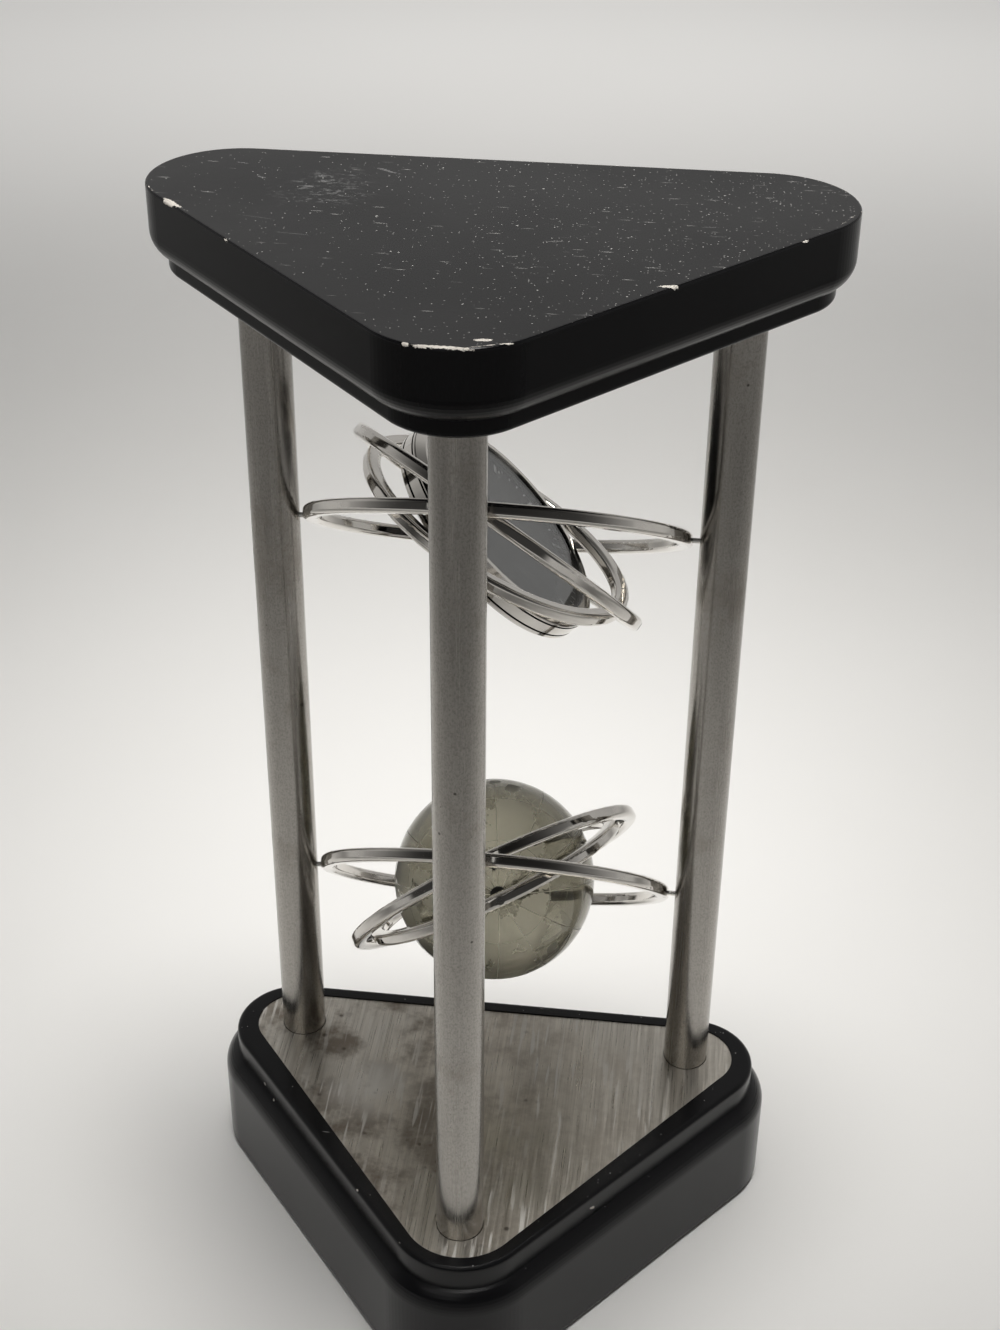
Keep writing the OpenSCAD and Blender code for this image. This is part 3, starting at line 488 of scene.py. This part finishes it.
def lathe(name, profile, steps, material):
    """Closed solid made by turning a closed profile of (along, radius) points about X."""
    verts = []
    for k in range(steps):
        a = math.tau * k / steps
        verts += [(x, r * math.cos(a), r * math.sin(a)) for x, r in profile]
    m = len(profile)
    faces = [(k * m + i, (k + 1) % steps * m + i, (k + 1) % steps * m + (i + 1) % m, k * m + (i + 1) % m)
             for k in range(steps) for i in range(m)]
    mesh = bpy.data.meshes.new(name)
    mesh.from_pydata(verts, [], faces)
    mesh.materials.append(material)
    mesh.validate()
    obj = bpy.data.objects.new(name, mesh)
    bpy.context.scene.collection.objects.link(obj)
    return obj


# The globe turns on pins at its poles, and its north pole looks to the front. X of its frame is the axis.
GLOBE_ROT = axis_frame(NORTH, (0, 0, -1))
GLOBE_R, GLOBE_WALL = 21.4 * MM, 1.6 * MM
GLOBE_STEPS = 128
# Longitude at the lowest side of the globe, and the lines of its grid: round the axis, and from pole to pole.
LOW_MERIDIAN = 95.0
MERIDIANS, PARALLELS = 12, 6
# Tones of the outer face, clear and etched, of the inner face and of the glass, and how fast the glass absorbs.
SEA, ETCHED, INNER_FACE = (0.22, 0.210, 0.172), (0.78, 0.755, 0.66), (0.86, 0.85, 0.80)
GLASS_TINT, GLASS_DENSITY = (0.50, 0.47, 0.33), 60.0

# Land as round patches: latitude, longitude and angular radius in degrees.
LAND = [
    (62, -110, 15), (50, -100, 14), (40, -98, 12), (64, -150, 8), (58, -75, 9), (28, -102, 7), (18, -95, 5),
    (10, -84, 3), (74, -40, 9), (66, -46, 5), (2, -65, 10), (-10, -58, 13), (-25, -60, 9), (-40, -68, 6),
    (-50, -71, 3), (20, 0, 12), (22, 22, 13), (8, 10, 9), (5, 30, 11), (-10, 24, 11), (-24, 24, 8), (8, 43, 5),
    (-19, 47, 4), (50, 12, 9), (60, 30, 11), (42, -4, 5), (62, 14, 6), (54, -2, 3), (60, 60, 14), (62, 95, 16),
    (60, 130, 13), (66, 160, 8), (45, 70, 14), (42, 105, 14), (32, 112, 9), (24, 80, 8), (15, 78, 5), (35, 52, 9),
    (24, 46, 8), (20, 102, 5), (12, 105, 3), (37, 138, 3), (-25, 125, 9), (-24, 140, 9), (-33, 147, 5),
    (-5, 141, 4), (1, 114, 5), (0, 101, 4), (-42, 172, 3), (-90, 0, 19), (12, 90, 24), (-14, 88, 26),
    (-30, 100, 18),
]


def sphere_point(lat, lon):
    """Direction of a place in the globe's frame."""
    a, b = math.radians(lat), math.radians(lon - LOW_MERIDIAN)
    return Vector((math.sin(a), math.cos(a) * math.cos(b), math.cos(a) * math.sin(b)))


def line_mask(n, turns, scale, half_width):
    """Mask of thin lines at each whole number of turns, where scale turns a part of a turn into an arc."""
    part = n.math("FRACT", n.math("ADD", turns, 24.5))
    arc = n.math("MULTIPLY", n.math("ABSOLUTE", n.math("SUBTRACT", part, 0.5)), scale)
    return n.ramp(arc, half_width * 1.3, half_width * 0.7)


def globe_glass():
    """Clear glass with etched land on its outer face, and a grid of lines that shows on land and sea alike."""
    n = Nodes("globe_glass")
    local = n.local(GLOBE, GLOBE_ROT)
    direction = n.vmath("NORMALIZE", local)
    x, y, z = n.split(direction)
    inside = []
    for lat, lon, r in LAND:
        near = n.vmath("DOT_PRODUCT", direction, sphere_point(lat, lon), out=1)
        r = math.radians(r)
        inside.append(n.math("MULTIPLY_ADD", near, 1 / math.sin(r), -1 / math.tan(r)))
    coast = n.math("SUBTRACT", n.noise(3.6, 7.0, 0.62, vector=direction), 0.5)
    land = n.ramp(n.math("ADD", n.most(inside), n.math("MULTIPLY", coast, 0.55)), -0.012, 0.012)
    meridians = line_mask(n, n.math("MULTIPLY", n.math("ARCTAN2", z, y), MERIDIANS / math.tau),
                          n.math("MULTIPLY", n.hypot(y, z), math.tau / MERIDIANS), 0.0032)
    parallels = line_mask(n, n.math("MULTIPLY", n.math("ARCSINE", x), PARALLELS / math.pi), math.pi / PARALLELS,
                          0.0025)
    lines = n.most([meridians, parallels])
    outer = n.math("GREATER_THAN", n.vmath("LENGTH", local, out=1), GLOBE_R - GLOBE_WALL / 2)
    etched = n.math("MULTIPLY", n.math("ABSOLUTE", n.math("SUBTRACT", land, lines)), outer)
    grain = n.noise(900.0, 3.0)
    tone = n.mix(outer, INNER_FACE, n.mix(etched, SEA, ETCHED))
    rough = n.math("MULTIPLY", etched, n.ramp(grain, 0.3, 0.7, 0.52, 0.66))
    n.set(Base_Color=tone, Roughness=n.math("MAXIMUM", rough, 0.02), IOR=1.49, Transmission_Weight=1.0,
          Specular_Tint=(0.85, 0.83, 0.75))
    frost = n.math("MULTIPLY", n.math("SUBTRACT", n.math("MULTIPLY", grain, 0.4), 1.0), etched)
    n.bump(frost, 0.3, 0.00008)
    body = n.add("ShaderNodeVolumeAbsorption")
    n.put(body.inputs["Color"], GLASS_TINT)
    n.put(body.inputs["Density"], GLASS_DENSITY)
    n.tree.links.new(body.outputs[0], n.tree.nodes["Material Output"].inputs["Volume"])
    return n.mat


def globe_profile():
    """Outline of the hollow shell: pole hole, flat seat for the bush, outer face with a fine seam, inner face."""
    hole, flat, bush_r, sink = 1.24 * MM, 1.8 * MM, 1.7 * MM, 0.1 * MM
    seam_half, seam_depth = 0.12 * MM, 0.10 * MM
    seat = math.sqrt(GLOBE_R ** 2 - bush_r ** 2) - sink
    inner_r = GLOBE_R - GLOBE_WALL
    start = math.asin(flat / GLOBE_R)
    angles = [start + (math.pi - 2 * start) * k / 90 for k in range(91)]
    outer = [(-GLOBE_R * math.cos(a), GLOBE_R * math.sin(a)) for a in angles if abs(a - math.pi / 2) > 0.02]
    middle = len(outer) // 2
    seam = [(-seam_half, GLOBE_R), (0.0, GLOBE_R - seam_depth), (seam_half, GLOBE_R)]
    outer = outer[:middle] + seam + outer[middle:]
    begin = math.asin(hole / inner_r)
    angles = [begin + (math.pi - 2 * begin) * k / 72 for k in range(73)]
    inner = [(inner_r * math.cos(a), inner_r * math.sin(a)) for a in angles]
    return [(-seat, hole), (-seat, flat)] + outer + [(seat, flat), (seat, hole)] + inner


globe = lathe("globe_shell", globe_profile(), GLOBE_STEPS, globe_glass())
globe.data.transform(Matrix.Translation(GLOBE) @ GLOBE_ROT.to_4x4())
for face in globe.data.polygons:
    face.use_smooth = True
globe.data.set_sharp_from_angle(angle=math.radians(35))
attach(globe, "globe")
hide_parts("globe_half_front", "globe_half_rear")

# The camera stands as for the photograph; the focal length and the picture's height are in its pixels.
AZIMUTH, ELEVATION, ROLL = (math.radians(v) for v in (6.57, 32.62, 0.59))
AIM = Vector((2.81, 0.0, 143.1)) * MM
DISTANCE = 383.2 * MM
FOCAL_PX, HEIGHT_PX, SENSOR = 2024.5, 1330, 36.0
back = Vector((math.sin(AZIMUTH) * math.cos(ELEVATION), -math.cos(AZIMUTH) * math.cos(ELEVATION),
               math.sin(ELEVATION)))
right = (-back).cross(Vector((0, 0, 1))).normalized()
up = right.cross(-back)
right, up = math.cos(ROLL) * right + math.sin(ROLL) * up, math.cos(ROLL) * up - math.sin(ROLL) * right
camera = bpy.data.objects.new("camera", bpy.data.cameras.new("camera"))
camera.matrix_world = Matrix.Translation(AIM + back * DISTANCE) @ Matrix((right, up, back)).transposed().to_4x4()
camera.data.sensor_fit = "AUTO"
camera.data.sensor_width = SENSOR
camera.data.lens = FOCAL_PX / HEIGHT_PX * SENSOR
camera.data.clip_start = 0.01
bpy.context.scene.collection.objects.link(camera)
bpy.context.scene.camera = camera

# Floor: its half width, the radii between which it fades to the horizon, and the glow that it ends with.
FLOOR_HALF, FADE_START, FADE_END, FAR_GLOW = 20, 0.28, 1.0, 0.36
floor_mesh = bpy.data.meshes.new("floor")
corners = [(x * FLOOR_HALF, y * FLOOR_HALF, 0) for x, y in ((-1, -1), (1, -1), (1, 1), (-1, 1))]
floor_mesh.from_pydata(corners, [], [(0, 1, 2, 3)])
floor = bpy.data.objects.new("floor", floor_mesh)
bpy.context.scene.collection.objects.link(floor)
floor_look = Nodes("floor_pale")
mottle = floor_look.noise(9.0, 4.0, 0.6)
floor_look.set(Base_Color=floor_look.mix(mottle, (0.76, 0.755, 0.74), (0.80, 0.795, 0.785)), Roughness=0.55,
               Specular_IOR_Level=0.3)
# Far from the object the floor fades to the pale tone of the horizon, without lighting the object.
reach = floor_look.vmath("LENGTH", floor_look.point, out=1)
ray_is = floor_look.add("ShaderNodeLightPath").outputs
seen = floor_look.most([ray_is[kind] for kind in ("Is Camera Ray", "Is Glossy Ray", "Is Transmission Ray")])
glow = floor_look.ramp(reach, FADE_START, FADE_END, 0.0, FAR_GLOW)
floor_look.set(Emission_Color=WARM, Emission_Strength=floor_look.math("MULTIPLY", glow, seen))
floor_mesh.materials.append(floor_look.mat)


def new_light(name, kind, place, target, power):
    """Warm lamp at a place, aimed at a target."""
    light = bpy.data.lights.new(name, kind)
    light.energy = power
    light.color = WARM
    obj = bpy.data.objects.new(name, light)
    obj.location = place
    obj.rotation_euler = (Vector(target) - Vector(place)).to_track_quat("-Z", "Y").to_euler()
    bpy.context.scene.collection.objects.link(obj)
    return light


def soft_light(name, place, target, size, power, spread=180.0):
    """Rectangular lamp whose spread is in degrees."""
    light = new_light(name, "AREA", place, target, power)
    light.shape = "RECTANGLE"
    light.size, light.size_y = size
    light.spread = math.radians(spread)


# A soft spot from above lights the object and the floor near it, and weak wide lamps the floor behind and the front.
spot = new_light("soft_spot", "SPOT", (0.04, 0.03, 1.20), (-0.01, 0.125, 0.0), 66.0)
spot.shadow_soft_size = 0.24
spot.spot_size = math.radians(32.0)
spot.spot_blend = 0.75
soft_light("backdrop", (0.0, 0.95, 1.30), (-0.05, 0.75, 0.0), size=(0.6, 0.6), power=0.55, spread=44.0)
soft_light("fill", (-0.30, -0.75, 1.05), (0.0, 0.0, 0.1), size=(0.8, 0.6), power=0.9)

# The studio is pale low down all around, and higher up it is darker overhead and dim behind the camera.
# Tone of the sky by height, and its strength by depth and by height: two limits and the strength at each.
SKY = ((0.0, 0.47), (0.40, 0.46), (0.72, 0.16), (0.95, 0.07))
BACK_FADE = (-0.5, 0.3, 0.10, 1.0)
HORIZON_FADE = (0.05, 0.16, 1.0, 0.0)
world = bpy.data.worlds.new("studio")
bpy.context.scene.world = world
world.use_nodes = True
tree = world.node_tree
background = tree.nodes["Background"].inputs
sky = tree.nodes.new("ShaderNodeTexCoord")
way = tree.nodes.new("ShaderNodeSeparateXYZ")
tones = tree.nodes.new("ShaderNodeValToRGB")
tree.links.new(sky.outputs["Generated"], way.inputs[0])
tree.links.new(way.outputs["Z"], tones.inputs[0])
tree.links.new(tones.outputs[0], background["Color"])
strength = tree.nodes.new("ShaderNodeMath")
strength.operation = "MAXIMUM"
tree.links.new(strength.outputs[0], background["Strength"])
for axis, limits, target in (("Y", BACK_FADE, strength.inputs[0]), ("Z", HORIZON_FADE, strength.inputs[1])):
    fade = tree.nodes.new("ShaderNodeMapRange")
    fade.interpolation_type = "SMOOTHSTEP"
    tree.links.new(way.outputs[axis], fade.inputs["Value"])
    for socket, limit in zip(fade.inputs[1:5], limits):
        socket.default_value = limit
    tree.links.new(fade.outputs[0], target)
tones.color_ramp.interpolation = "EASE"
for height, level in SKY:
    stop = tones.color_ramp.elements[0] if height == 0.0 else tones.color_ramp.elements.new(height)
    stop.color = (*(level * part for part in WARM), 1)
tones.color_ramp.elements.remove(tones.color_ramp.elements[-1])

bpy.context.scene.view_settings.view_transform = "Standard"
